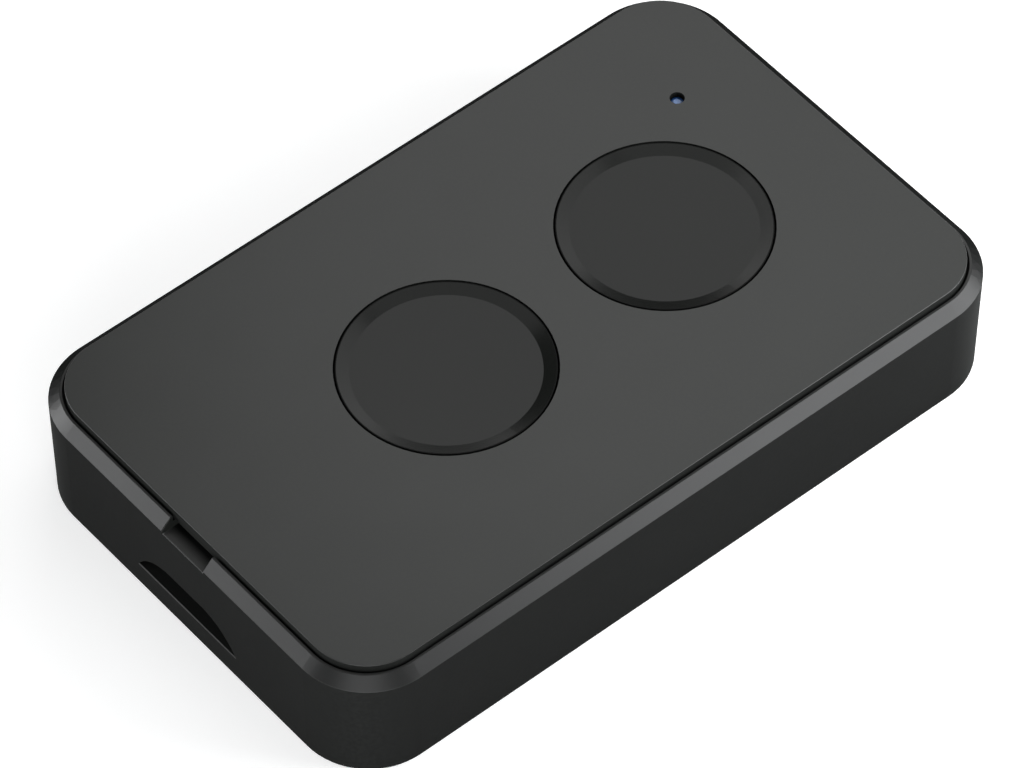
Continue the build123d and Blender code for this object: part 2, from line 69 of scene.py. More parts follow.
# Lamps: azimuth from +X towards +Y, elevation, distance, width, height, radiance, colour
lamps = {
    "back_left_box": (128.2, 46.5, 0.103, 0.098, 0.082, 1.28, (1.0, 1.0, 1.0)),
    "overhead_box": (246.9, 83.5, 0.114, 0.125, 0.120, 0.72, (1.0, 1.0, 1.0)),
    "front_left_box": (227.7, 5.4, 0.197, 0.120, 0.127, 8.95, (0.99, 1.0, 1.01)),
    "right_box": (41.5, 16.9, 0.092, 0.083, 0.108, 6.20, (0.985, 0.995, 1.01)),
    "front_box": (312.1, 5.6, 0.112, 0.080, 0.111, 4.10, (0.99, 1.0, 1.005)),
}
world_strength = 0.05

# The floor, in metres: its glow grows to white between two distances from the object's middle
floor_half_size = 2.0
floor_color = (0.8, 0.8, 0.8, 1)
floor_roughness = 0.9
floor_glow = 0.45
floor_white_from = (0.06, 0.11)

# Heights and places on the case, in millimetres; the core's corners are the middles of the rounded corners
core = (12.55, 23.5)
corner_radius = 5.5
shoulder_height = 8.72
rim_top = 9.5
rim_inner_reach = 4.54
cover_seat = 9.0
cavity_reach = 4.5
cavity_floor = 1.0
slot_edge = (2.1, 2.3)
slot_wall = -28.7

# Painted shade under the case: the floor's glow is left out there, and starts between two distances from the
# core, in millimetres
shade_footprint_edge = (4.5, 5.1)

# The pry notch, in millimetres, with the strips of its floor that carry painted shade and a painted
# highlight
notch_half_width = 2.3
notch_floor = 8.4
notch_end = -27.5
notch_shade = (-28.62, -27.85)
notch_highlight_strip = (-28.85, -28.75)

# The bevel: the way its near sides face, how squarely a face has to turn that way to be satin or matte,
# the steps between the two, the satin's roughness and shine, and how these change towards the matte
near_side = (0.766, -0.643)
satin_until = 0.27
matte_from = -0.43
bevel_steps = 14
satin_roughness = 0.44
roughness_rise = 0.36
satin_shine = 0.39
shine_left = 0.0256

# How much of a face's normal points up: below the first it is a wall, and above the last it lies level
upright = 0.1
half_turned = 0.5
nearly_level = 0.9
level = 0.98

# The cover's plate, its buttons and its pinhole, in millimetres, with the radius and blur of the highlight
# painted on the light pipe
plate_reach = 4.2
button_centers = {"upper_button": (0.0, 12.97), "lower_button": (0.0, -6.38)}
button_rim = 7.39
pinhole_center = (-8.2, 21.2)
pinhole_radius = 0.56
pipe_highlight_radius = 0.25
pipe_highlight_blur = 0.03

# The coin cell's middle, and the size of its spun rings, which are 6.28 times that apart, in millimetres
cell_center = (0.0, -9.0)
ring_size = 0.05

# The circuit board's top, and what is printed and soldered on it, in millimetres
board_top = 6.1
trace_height = 0.03
trace_end_radius = 0.22
pad_height = 0.04
pad_softening = 0.01
test_pad_radius = 0.5
plated_rim = (0.16, 0.32)
foot_length = 0.45
fillet_corner = 0.05
ink_height = 0.02
ink_width = 0.14
ink_spot_radius = 0.2
chip_ink = (-0.01, 0.008)

# How much a thin layer's edges lean in over its height, and the sharpest corner that its mitre follows
edge_taper = 0.3
sharpest_mitre = 0.5


# Camera, lamps and floor


def add_camera():
    a = math.radians(camera_azimuth)
    e = math.radians(camera_elevation)
    r = math.radians(camera_roll)
    back = Vector((math.sin(a) * math.cos(e), -math.cos(a) * math.cos(e), math.sin(e)))
    across = Vector((math.cos(a), math.sin(a), 0.0))
    right = across * math.cos(r) + back.cross(across) * math.sin(r)
    data = bpy.data.cameras.new("photo_camera")
    data.lens = camera_lens
    data.sensor_width = sensor_width
    data.clip_start = clip_near
    data.clip_end = clip_far
    camera = bpy.data.objects.new("photo_camera", data)
    bpy.context.scene.collection.objects.link(camera)
    bpy.context.scene.camera = camera
    matrix = camera.matrix_world.copy()
    matrix.col[0][:3] = right
    matrix.col[1][:3] = back.cross(right)
    matrix.col[2][:3] = back
    matrix.col[3][:3] = camera_target + back * camera_distance
    camera.matrix_world = matrix


def add_lamp(name, azimuth, elevation, distance, width, height, radiance, color):
    """A rectangular lamp that faces the middle of the object."""
    a = math.radians(azimuth)
    e = math.radians(elevation)
    direction = Vector((math.cos(a) * math.cos(e), math.sin(a) * math.cos(e), math.sin(e)))
    data = bpy.data.lights.new(name, "AREA")
    data.shape = "RECTANGLE"
    data.size = width
    data.size_y = height
    data.energy = radiance * math.pi * width * height
    data.color = color
    lamp = bpy.data.objects.new(name, data)
    bpy.context.scene.collection.objects.link(lamp)
    lamp.location = direction * distance
    lamp.rotation_mode = "QUATERNION"
    lamp.rotation_quaternion = direction.to_track_quat("Z", "Y")
    lamp.visible_camera = False


def add_world():
    world = bpy.data.worlds.new("studio")
    bpy.context.scene.world = world
    world.use_nodes = True
    background = world.node_tree.nodes["Background"]
    background.inputs["Color"].default_value = (1, 1, 1, 1)
    background.inputs["Strength"].default_value = world_strength


# Materials: object coordinates keep their grain fixed to the piece


class Graph:
    """One material and short ways to add to it."""

    def __init__(self, name, roughness=0.5, metallic=0.0, specular=0.5):
        self.material = bpy.data.materials.new(name)
        self.material.use_nodes = True
        self.tree = self.material.node_tree
        self.shader = self.tree.nodes["Principled BSDF"]
        self.set("Roughness", roughness)
        self.set("Metallic", metallic)
        self.set("Specular IOR Level", specular)
        self.place = self.add("ShaderNodeTexCoord").outputs["Object"]

    def add(self, kind, **settings):
        node = self.tree.nodes.new(kind)
        for name, value in settings.items():
            setattr(node, name, value)
        return node

    def set(self, name, value):
        """Gives a socket of the shader a plain value or another node's output."""
        self.give(self.shader.inputs[name], value)

    def give(self, socket, value):
        if isinstance(value, bpy.types.NodeSocket):
            self.tree.links.new(value, socket)
        else:
            socket.default_value = value

    def noise(self, size, detail=2.0, stretch=(1, 1, 1)):
        """Noise whose blotches are about one size across, in millimetres, longer along a stretched axis."""
        waves_per_size = 0.5
        mapping = self.add("ShaderNodeMapping")
        self.give(mapping.inputs["Vector"], self.place)
        mapping.inputs["Scale"].default_value = [1 / (size * MM * s) for s in stretch]
        noise = self.add("ShaderNodeTexNoise")
        self.give(noise.inputs["Vector"], mapping.outputs["Vector"])
        noise.inputs["Scale"].default_value = waves_per_size
        noise.inputs["Detail"].default_value = detail
        return noise.outputs["Fac"]

    def spread(self, value, low, high, start=0.3, end=0.7):
        """Maps a value's usual range onto another range."""
        remap = self.add("ShaderNodeMapRange")
        self.give(remap.inputs["Value"], value)
        remap.inputs["From Min"].default_value = start
        remap.inputs["From Max"].default_value = end
        remap.inputs["To Min"].default_value = low
        remap.inputs["To Max"].default_value = high
        return remap.outputs["Result"]

    def fade(self, value, start, end):
        """From 0 to 1 as a distance in metres goes from a start to an end given in millimetres."""
        return self.spread(value, 0.0, 1.0, start=start * MM, end=end * MM)

    def math(self, operation, first, second):
        node = self.add("ShaderNodeMath", operation=operation)
        self.give(node.inputs[0], first)
        self.give(node.inputs[1], second)
        return node.outputs[0]

    def vector(self, operation, *values):
        """The node of a sum on points or directions."""
        node = self.add("ShaderNodeVectorMath", operation=operation)
        for socket, value in zip(node.inputs, values):
            self.give(socket, value)
        return node

    def mix(self, factor, first, second):
        """A blend of two colours, given as three numbers or as a socket."""
        node = self.add("ShaderNodeMix", data_type="RGBA")
        self.give(node.inputs["Factor"], factor)
        for socket, value in ((node.inputs[6], first), (node.inputs[7], second)):
            self.give(socket, value if isinstance(value, bpy.types.NodeSocket) else (*value, 1))
        return node.outputs[2]

    def bump(self, height, depth):
        """A bump whose full height is a depth in millimetres."""
        node = self.add("ShaderNodeBump")
        node.inputs["Distance"].default_value = depth * MM
        self.give(node.inputs["Height"], height)
        self.set("Normal", node.outputs["Normal"])

    def weave(self, pitch):
        """Crossed threads, from 0 between them to 1 where two cross."""
        radians_per_unit = 20
        threads = []
        for direction in "XY":
            wave = self.add("ShaderNodeTexWave", bands_direction=direction)
            self.give(wave.inputs["Vector"], self.place)
            wave.inputs["Scale"].default_value = math.tau / (radians_per_unit * pitch * MM)
            wave.inputs["Distortion"].default_value = 0.3
            threads.append(wave.outputs["Fac"])
        return self.math("MULTIPLY", *threads)

    def radius(self, center):
        """The distance in metres from an upright line through a centre given in millimetres."""
        flat = self.vector("MULTIPLY_ADD", self.place, (1, 1, 0), (-center[0] * MM, -center[1] * MM, 0))
        return self.vector("LENGTH", flat.outputs["Vector"]).outputs["Value"]

    def coordinates(self):
        """The three coordinates of a point, in metres."""
        apart = self.add("ShaderNodeSeparateXYZ")
        self.give(apart.inputs[0], self.place)
        return apart.outputs

    def corners(self):
        """From 0 on the case's straight sides to 1 at the middle of its rounded corners."""
        full = corner_radius / math.sqrt(2)
        past = []
        for coordinate, half in zip(self.coordinates(), core):
            distance = self.math("ABSOLUTE", coordinate, 0.0)
            past.append(self.fade(distance, half, half + full))
        return self.math("MULTIPLY", *past)

    def reach(self):
        """How far in metres a point is from the case's core, seen from above."""
        value = self.vector("ABSOLUTE", self.place).outputs["Vector"]
        value = self.vector("SUBTRACT", value, (core[0] * MM, core[1] * MM, 1)).outputs["Vector"]
        value = self.vector("MAXIMUM", value, (0, 0, 0)).outputs["Vector"]
        return self.vector("LENGTH", value).outputs["Value"]

    def edges(self, radius):
        """A value near 1 on sharp edges, from how far a rounded normal leans away."""
        edge_agrees, flat_agrees = 0.75, 0.99
        rounded = self.add("ShaderNodeBevel", samples=4)
        rounded.inputs["Radius"].default_value = radius * MM
        true = self.add("ShaderNodeNewGeometry")
        lean = self.vector("DOT_PRODUCT", rounded.outputs["Normal"], true.outputs["Normal"])
        return self.spread(lean.outputs["Value"], 1.0, 0.0, start=edge_agrees, end=flat_agrees)


def scaled(values, factor):
    return [value * factor for value in values]


# Plastic: sizes in millimetres, how much paler its flecks and edges are, how much paler its corners are
# painted as a reflection, and how its gloss varies
mottle_size = 6.0
dull_spot_size = 2.5
rubbed_width = 0.12
rubbed_range = (0.4, 1.2)
rubbed_paleness = 2
rubbed_dust = 0.02
rubbed_gloss = 0.1
fleck_share = 0.5
fleck_paleness = 1.25
corner_reflection_paleness = 2.5
gloss_change = 0.012


def plastic(
    name, color, roughness, specular=0.5, grain=0.12, depth=0.001, mottle=0.06, wear=0.15, corner_reflection=0.0
):
    """Moulded plastic: a faint mottle, a fine grain, slightly rubbed edges, and corners made paler as a
    painted reflection.
    """
    g = Graph(name, roughness, specular=specular)
    patches = g.noise(mottle_size, detail=3.0)
    fine = g.noise(grain, detail=1.0)
    base = g.mix(g.spread(patches, 0.0, 1.0), scaled(color, 1 - mottle), scaled(color, 1 + mottle))
    # Corners made paler: a painted reflection of a lamp on the case's rounded corners
    if corner_reflection:
        base = g.mix(g.math("MULTIPLY", g.corners(), corner_reflection), base, scaled(color, corner_reflection_paleness))
    flecked = g.mix(g.spread(fine, 0.0, fleck_share), base, scaled(color, fleck_paleness))
    least, most = scaled(rubbed_range, wear)
    wear_and_edge_highlight = g.math("MULTIPLY", g.edges(rubbed_width), g.spread(patches, least, most))
    g.set("Base Color", g.mix(wear_and_edge_highlight, flecked, [c * rubbed_paleness + rubbed_dust for c in color]))
    spots = g.noise(dull_spot_size, detail=3.0)
    gloss = g.spread(spots, roughness - gloss_change, roughness + gloss_change)
    g.set("Roughness", g.math("SUBTRACT", gloss, g.math("MULTIPLY", wear_and_edge_highlight, rubbed_gloss)))
    g.bump(fine, depth)
    return g.material


# Metal: sizes in millimetres, how bright its bare edges are, how dark its lines, and how its gloss varies
tarnish_size = 1.6
bare_width = 0.08
bare_share = 0.4
bare_brightness = 1.3
line_share = 0.35
line_darkness = 0.75
metal_gloss_change = 0.07


def bare_edges(g, base, color):
    """Metal worn bright along its edges."""
    worn = g.math("MULTIPLY", g.edges(bare_width), bare_share)
    g.set("Base Color", g.mix(worn, base, [min(1, c * bare_brightness) for c in color]))


def metal(name, color, roughness, brushed=(1, 1, 1), grain=0.15, depth=0.0008, tarnish=0.12):
    """Plated or brushed metal: fine lines or grain, uneven tarnish and bright edges."""
    g = Graph(name, roughness, metallic=1.0)
    patches = g.noise(tarnish_size, detail=4.0)
    lines = g.noise(grain, detail=2.0, stretch=brushed)
    base = g.mix(g.spread(patches, 0.0, 1.0), scaled(color, 1 - tarnish), color)
    lined = g.mix(g.spread(lines, 0.0, line_share), base, scaled(color, line_darkness))
    bare_edges(g, lined, color)
    both = g.math("ADD", patches, lines)
    smooth, dull = roughness - metal_gloss_change, roughness + metal_gloss_change
    g.set("Roughness", g.spread(both, smooth, dull, start=0.6, end=1.4))
    g.bump(lines, depth)
    return g.material


def turned(name, color, roughness, center):
    """Plated metal with fine rings round an upright line, as spun or stamped parts have."""
    g = Graph(name, roughness, metallic=1.0)
    away = g.math("MULTIPLY", g.radius(center), 1 / (ring_size * MM))
    rings = g.math("SINE", away, 0.0)
    patches = g.noise(2.0, detail=4.0)
    base = g.mix(g.spread(patches, 0.0, 1.0), scaled(color, 0.88), color)
    lined = g.mix(g.spread(rings, 0.0, 0.25, start=-1.0, end=1.0), base, scaled(color, 0.8))
    bare_edges(g, lined, color)
    g.set("Roughness", g.spread(patches, roughness - 0.06, roughness + 0.08))
    g.bump(rings, 0.0006)
    return g.material


def light_pipe():
    """Clear blue acrylic: a pale core in the middle, which is a painted highlight, and a deeper ring round
    it.
    """
    deep_blue = (0.010, 0.044, 0.140)
    highlight_blue = (0.160, 0.265, 0.520)
    g = Graph("blue_acrylic", 0.14)
    away = g.radius(pinhole_center)
    inside = (pipe_highlight_radius - pipe_highlight_blur) * MM
    outside = (pipe_highlight_radius + pipe_highlight_blur) * MM
    # The pale core in the middle of the pipe's tip is a painted highlight
    painted_highlight = g.spread(away, 1.0, 0.0, start=inside, end=outside)
    cloudy = g.spread(g.noise(0.2), 0.85, 1.1)
    tint = g.mix(painted_highlight, deep_blue, highlight_blue)
    clouded = g.vector("SCALE", tint)
    g.give(clouded.inputs["Scale"], cloudy)
    g.set("Base Color", clouded.outputs["Vector"])
    g.set("Roughness", g.spread(g.noise(0.3, detail=3.0), 0.10, 0.20))
    g.bump(g.noise(0.1), 0.0004)
    return g.material


def notch_floor_finish():
    """The notch's floor: a painted highlight along its front edge, and painted shade darkening it towards
    the cover's plate.
    """
    base = (0.0490, 0.0495, 0.0485)
    fleck = (0.0400, 0.0405, 0.0398)
    # The pale colour of its front edge is a painted highlight, and the near black is painted shade under the
    # plate
    wear_and_edge_highlight = (0.2600, 0.2700, 0.2700)
    shadow = (0.0010, 0.0011, 0.0010)
    edge_width = 0.22
    g = Graph("notch_satin", 0.5, specular=0.15)
    along = g.coordinates()["Y"]
    # Painted shade, growing darker towards the cover's plate
    shade_towards_plate = g.fade(along, *notch_shade)
    fine = g.noise(0.12, detail=1.0)
    highlight_strip = g.spread(along, 1.0, 0.0, start=notch_highlight_strip[0] * MM, end=notch_highlight_strip[1] * MM)
    flecked = g.mix(g.spread(fine, 0.0, 0.2), base, fleck)
    edged = g.mix(g.math("MULTIPLY", g.edges(edge_width), highlight_strip), flecked, wear_and_edge_highlight)
    g.set("Base Color", g.mix(shade_towards_plate, edged, shadow))
    g.set("Roughness", g.spread(g.noise(2.5, detail=3.0), 0.48, 0.54))
    g.bump(fine, 0.001)
    return g.material


def resin():
    """Clear blue tinted resin over the light's chip, cloudy towards its rim."""
    clear = (0.62, 0.70, 0.86)
    cloudy = (0.36, 0.48, 0.78)
    g = Graph("tinted_resin", 0.1)
    rim = g.fade(g.radius(pinhole_center), 0.1, 0.6)
    g.set("Base Color", g.mix(rim, clear, cloudy))
    g.set("Roughness", g.spread(g.noise(0.4, detail=3.0), 0.07, 0.16))
    g.set("Transmission Weight", 0.3)
    g.set("Coat Weight", 0.5)
    g.bump(g.noise(0.2), 0.001)
    return g.material


def solder_mask(name, color, roughness=0.36):
    """Green lacquer over glass cloth, whose threads show through and lift it a little."""
    thread_pitch = 0.45
    g = Graph(name, roughness, specular=0.35)
    cloth = g.weave(thread_pitch)
    patches = g.noise(4.0, detail=3.0)
    base = g.mix(g.spread(patches, 0.0, 1.0), scaled(color, 0.85), scaled(color, 1.12))
    g.set("Base Color", g.mix(g.math("MULTIPLY", cloth, 0.35), base, scaled(color, 1.5)))
    g.set("Roughness", g.spread(g.noise(1.2, detail=4.0), roughness - 0.06, roughness + 0.08))
    g.set("Coat Weight", 0.08)
    g.bump(g.math("ADD", cloth, g.noise(0.3)), 0.002)
    return g.material


def laminate():
    """The board's cut edge: pale glass cloth in layers, rough from the saw."""
    dark_layer = (0.36, 0.40, 0.22)
    pale_layer = (0.52, 0.53, 0.34)
    chipped = (0.22, 0.28, 0.13)
    g = Graph("cut_laminate", 0.7)
    layers = g.noise(0.12, detail=2.0, stretch=(8, 8, 1))
    chips = g.noise(0.35, detail=4.0)
    base = g.mix(g.spread(layers, 0.0, 1.0), dark_layer, pale_layer)
    g.set("Base Color", g.mix(g.spread(chips, 0.0, 0.6), base, chipped))
    g.set("Roughness", g.spread(chips, 0.6, 0.8))
    g.bump(g.math("ADD", layers, chips), 0.01)
    return g.material


# What each slot of the record is finished with
looks = {
    "case_plastic": plastic("case_inside", (0.0090, 0.0094, 0.0090), 0.5, specular=0.3, grain=0.3),
    "cover_plastic": plastic("cover_satin", (0.0140, 0.0154, 0.0141), 0.34, wear=0.08),
    "button_plastic": plastic("button_satin", (0.0049, 0.0056, 0.0049), 0.20, specular=0.31),
    "retainer_plastic": plastic("retainer_satin", (0.0100, 0.0102, 0.0108), 0.42, grain=0.3),
    "switch_plastic": plastic("switch_base_plastic", (0.014, 0.014, 0.015), 0.5, grain=0.2, depth=0.003),
    "plunger_plastic": plastic("natural_nylon", (0.560, 0.540, 0.480), 0.38, grain=0.25, wear=0.05),
    "seal_plastic": plastic("seal_nylon", (0.100, 0.100, 0.110), 0.45, grain=0.2),
    "chip_plastic": plastic("moulded_epoxy", (0.018, 0.018, 0.020), 0.55, grain=0.08, depth=0.004),
    "crystal_ceramic": plastic("fired_ceramic", (0.350, 0.330, 0.290), 0.5, grain=0.1, mottle=0.1, wear=0.1),
    "led_plastic": plastic("white_body", (0.780, 0.780, 0.760), 0.4, grain=0.2, mottle=0.03, wear=0.0),
    "capacitor_ceramic": plastic("tan_ceramic", (0.420, 0.290, 0.170), 0.42, grain=0.08, mottle=0.14),
    "resistor_film": plastic("black_glaze", (0.025, 0.025, 0.028), 0.22, grain=0.2, mottle=0.15),
    "screw_steel": metal("zinc_plate", (0.560, 0.570, 0.600), 0.34, grain=0.1, tarnish=0.2),
    "switch_steel": metal("stamped_steel", (0.600, 0.600, 0.600), 0.30, brushed=(10, 1, 1)),
    "dome_steel": metal("spring_steel", (0.600, 0.600, 0.590), 0.26, brushed=(1, 6, 1)),
    "tinned_metal": metal("tin_plate", (0.680, 0.680, 0.670), 0.36, grain=0.08, tarnish=0.18),
    "contact_metal": metal("nickel_strip", (0.620, 0.610, 0.580), 0.32, brushed=(12, 1, 1)),
    "crystal_metal": metal("crystal_plate", (0.620, 0.620, 0.600), 0.28, grain=0.12),
    "copper": metal("etched_copper", (0.700, 0.330, 0.170), 0.38, grain=0.1, tarnish=0.3),
    "cell_steel": turned("cell_nickel", (0.640, 0.640, 0.650), 0.30, cell_center),
    "light_pipe_plastic": light_pipe(),
    "led_resin": resin(),
    "board_laminate": solder_mask("green_mask", (0.012, 0.110, 0.045)),
}


def bevel_look(step):
    """The bevel's plastic at one step of its fade from satin to matte."""
    faded = step / bevel_steps
    roughness = satin_roughness + roughness_rise * faded
    shine = satin_shine * shine_left**faded
    return plastic(f"bevel_satin_{step}", (0.0049, 0.0053, 0.0051), roughness, specular=shine)


# Finishes of single faces, and of what is etched, printed and soldered on the board
bevels = [bevel_look(step) for step in range(bevel_steps + 1)]
notch_satin = notch_floor_finish()
rim_flat = plastic("rim_satin", (0.0110, 0.0116, 0.0111), 0.38, specular=0.44, wear=0.0)
# The walls' rounded corners are made paler: a painted reflection
wall = plastic(
    "wall_texture", (0.0066, 0.0070, 0.0067), 0.83, specular=0.06, grain=0.16, depth=0.006, corner_reflection=0.9
)
plate_side = plastic("plate_side", (0.0085, 0.0091, 0.0085), 0.80, specular=0.08, wear=0.0)
plate_bevel = plastic("plate_bevel", (0.0185, 0.0194, 0.0185), 0.38, specular=0.42, wear=0.0)
# Near-black plastic on the gap round the cover, the rim's inner walls, the ledge, the buttons' rims and the
# notch's back wall: painted shade
shaded = plastic("gap_painted_shade", (0.0040, 0.0042, 0.0040), 0.65, specular=0.1, wear=0.0)
board_edge = laminate()
masked_copper = solder_mask("masked_copper", (0.022, 0.190, 0.070), 0.32)
solder = metal("solder", (0.660, 0.660, 0.660), 0.24, grain=0.3, tarnish=0.2)
ink = plastic("board_ink", (0.720, 0.720, 0.690), 0.6, grain=0.1, mottle=0.1, wear=0.0)


def dress(name, choices, choose):
    """Gives each face of a node one of its finishes, by the face's middle in millimetres and its normal."""
    mesh = nodes[name].data
    mesh.materials.clear()
    for look in choices:
        mesh.materials.append(look)
    for face in mesh.polygons:
        face.material_index = choices.index(choose(face.center / MM, face.normal))


def reach(middle):
    """How far in millimetres a point is from the case's core, seen from above."""
    return math.hypot(max(abs(middle.x) - core[0], 0), max(abs(middle.y) - core[1], 0))


def bevel_finish(normal):
    """One of the bevel's finishes, by how far round from the near sides its face points."""
    smallest = 0.001
    sideways = max(math.hypot(normal.x, normal.y), smallest)
    facing = (normal.x * near_side[0] + normal.y * near_side[1]) / sideways
    faded = min(max((satin_until - facing) / (satin_until - matte_from), 0), 1)
    return bevels[round(faded * bevel_steps)]


def case_finish(middle, normal):
    inside = reach(middle) < cavity_reach and middle.z > cavity_floor
    in_notch = abs(middle.x) < notch_half_width and middle.y < notch_end and middle.z > notch_floor
    at_slot_edge = slot_edge[0] < middle.z < slot_edge[1] and middle.y < slot_wall
    if in_notch and normal.z > nearly_level:
        return notch_satin
    if in_notch:
        # The notch's sides keep the cover's plastic, and its back wall gets painted shade
        return looks["cover_plastic"] if normal.y > -half_turned else shaded
    # The rim's inner walls and the ledge, in the gap round the cover, get painted shade
    if middle.z > cover_seat and reach(middle) < rim_inner_reach:
        return shaded
    if middle.z > rim_top and normal.z > level:
        return rim_flat
    if at_slot_edge and normal.z > upright:
        return bevels[0]
    if middle.z > shoulder_height:
        return bevel_finish(normal)
    return looks["case_plastic"] if inside else wall


def cover_finish(middle, normal):
    if math.hypot(middle.x - pinhole_center[0], middle.y - pinhole_center[1]) < pinhole_radius:
        return plate_side
    if reach(middle) > plate_reach:
        return plate_side if normal.z < upright else plate_bevel
    return looks["cover_plastic"]


def button_finish(center):
    def choose(middle, normal):
        away = math.hypot(middle.x - center[0], middle.y - center[1])
        # The button's rim and flange, down in the gap, get painted shade
        return shaded if away > button_rim else looks["button_plastic"]

    return choose


def board_finish(middle, normal):
    return board_edge if abs(normal.z) < half_turned else looks["board_laminate"]


for part in frame["record"]["subparts"]:
    mesh = nodes[part["node"]].data
    mesh.materials.clear()
    mesh.materials.append(looks[part["material_slot"]])
case_looks = [*bevels, wall, looks["case_plastic"], looks["cover_plastic"], shaded, rim_flat, notch_satin]
dress("rear_shell", case_looks, case_finish)
dress("front_cover", [looks["cover_plastic"], plate_side, plate_bevel], cover_finish)
for name, center in button_centers.items():
    dress(name, [looks["button_plastic"], shaded], button_finish(center))
dress("circuit_board", [looks["board_laminate"], board_edge], board_finish)


# What is etched, printed and soldered on the circuit board


def loft(rings, closed=False):
    """Points and faces of a skin over rings of equal count, capped at both ends or closed on itself."""
    count = len(rings[0])
    points = [point for ring in rings for point in ring]
    steps = len(rings) if closed else len(rings) - 1
    faces = []
    for step in range(steps):
        low = step * count
        high = (step + 1) % len(rings) * count
        for i in range(count):
            j = (i + 1) % count
            faces.append((low + i, low + j, high + j, high + i))
    if not closed:
        faces.append(tuple(reversed(range(count))))
        faces.append(tuple(range(len(points) - count, len(points))))
    return points, faces


def rounded(low, high, z, grow=0.0, radius=0.1, steps=3):
    """A ring round a rectangle with rounded corners, grown outwards by a little."""
    radius += max(grow, 0)
    middle = [(a + b) / 2 for a, b in zip(low, high)]
    half = [(b - a) / 2 + grow - radius for a, b in zip(low, high)]
    ring = []
    for corner, (sx, sy) in enumerate(((1, 1), (-1, 1), (-1, -1), (1, -1))):
        for step in range(steps + 1):
            turn = math.radians(90 * (corner + step / steps))
            x = middle[0] + sx * half[0] + radius * math.cos(turn)
            y = middle[1] + sy * half[1] + radius * math.sin(turn)
            ring.append((x, y, z))
    return ring


def disc(center, radius, low, high, sides=20):
    """A round, flat spot with a softened top edge."""
    rings = []
    for shrink, z in ((0.0, low), (0.0, (low + high) / 2), (edge_taper * (high - low), high)):
        turns = [math.tau * i / sides for i in range(sides)]
        r = radius - shrink
        rings.append([(center[0] + r * math.cos(t), center[1] + r * math.sin(t), z) for t in turns])
    return loft(rings)


def strip(path, width, low, high, closed=False):
    """A flat strip along a path in the board's plane, mitred at its corners."""
    path = [Vector(point) for point in path]
    rings = []
    for i, point in enumerate(path):
        before = path[i - 1] if closed or i > 0 else None
        after = path[(i + 1) % len(path)] if closed or i + 1 < len(path) else None
        runs = [run.normalized() for run in (before and point - before, after and after - point) if run]
        along = sum(runs, Vector((0, 0))).normalized()
        side = Vector((-along.y, along.x)) * width / 2 / max(sharpest_mitre, along.dot(runs[0]))
        taper = edge_taper * (high - low)
        inner = side - side.normalized() * taper
        rings.append([
            (*(point + side), low),
            (*(point - side), low),
            (*(point - inner), high),
            (*(point + inner), high),
        ])
    return loft(rings, closed)


def ring_spot(center, inner, outer, low, high, sides=16):
    """A flat ring, such as the rim of a plated hole."""
    rings = []
    for i in range(sides):
        x, y = math.cos(math.tau * i / sides), math.sin(math.tau * i / sides)
        profile = ((outer, low), (outer, high), (inner, high), (inner, low))
        rings.append([(center[0] + r * x, center[1] + r * y, z) for r, z in profile])
    return loft(rings, closed=True)


def add_piece(name, shapes, look, smooth=False):
    """One object on the case's body, made of shapes in millimetres."""
    sharp_angle = math.radians(50)
    points = []
    faces = []
    for shape_points, shape_faces in shapes:
        start = len(points)
        points += [Vector(point) * MM for point in shape_points]
        faces += [[start + i for i in face] for face in shape_faces]
    mesh = bpy.data.meshes.new(name)
    mesh.from_pydata(points, [], faces)
    built = bmesh.new()
    built.from_mesh(mesh)
    bmesh.ops.recalc_face_normals(built, faces=built.faces)
    built.to_mesh(mesh)
    built.free()
    mesh.materials.append(look)
    if smooth:
        mesh.shade_smooth()
        mesh.set_sharp_from_angle(angle=sharp_angle)
    piece = bpy.data.objects.new(name, mesh)
    bpy.context.scene.collection.objects.link(piece)
    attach(piece, "case")


def solids(name):
    """The lowest and highest corners, in millimetres, of each separate solid in a node."""
    weld_distance = 0.001 * MM
    mesh = bmesh.new()
    mesh.from_mesh(nodes[name].data)
    bmesh.ops.remove_doubles(mesh, verts=mesh.verts, dist=weld_distance)
    boxes = []
    for seed in mesh.verts:
        if seed.tag:
            continue
        seed.tag = True
        group = [seed]
        for vertex in group:
            for edge in vertex.link_edges:
                other = edge.other_vert(vertex)
                if not other.tag:
                    other.tag = True
                    group.append(other)
        spread = [[vertex.co[axis] / MM for vertex in group] for axis in range(3)]
        boxes.append(([min(values) for values in spread], [max(values) for values in spread]))
    mesh.free()
    return sorted(boxes)


def feet(name):
    """The outer ends of a chip's leads, which stand on the board."""
    boxes = solids(name)
    middle = sum(low[1] + high[1] for low, high in boxes) / 2 / len(boxes)
    for low, high in boxes:
        if low[1] > middle:
            low = (low[0], high[1] - foot_length, low[2])
        else:
            high = (high[0], low[1] + foot_length, high[2])
        yield low, high


# How far solder stands out from a terminal at each height above its pad
fillet_profile = ((0.24, 0.0), (0.15, 0.03), (0.08, 0.09), (0.03, 0.20), (-0.02, 0.32))


def solder_fillet(low, high, scale, rise):
    """Solder drawn up round a terminal, hollow between the pad and the metal."""
    rings = []
    for out, up in fillet_profile:
        z = board_top + pad_height + rise * up
        rings.append(rounded(low, high, z, grow=scale * out, radius=fillet_corner))
    return loft(rings)


def pad(low, high, grow):
    """A tinned pad under a terminal, with a softened top edge."""
    top = board_top + pad_height
    return loft([
        rounded(low, high, board_top, grow=grow),
        rounded(low, high, top - pad_softening, grow=grow),
        rounded(low, high, top, grow=grow - pad_softening),
    ])


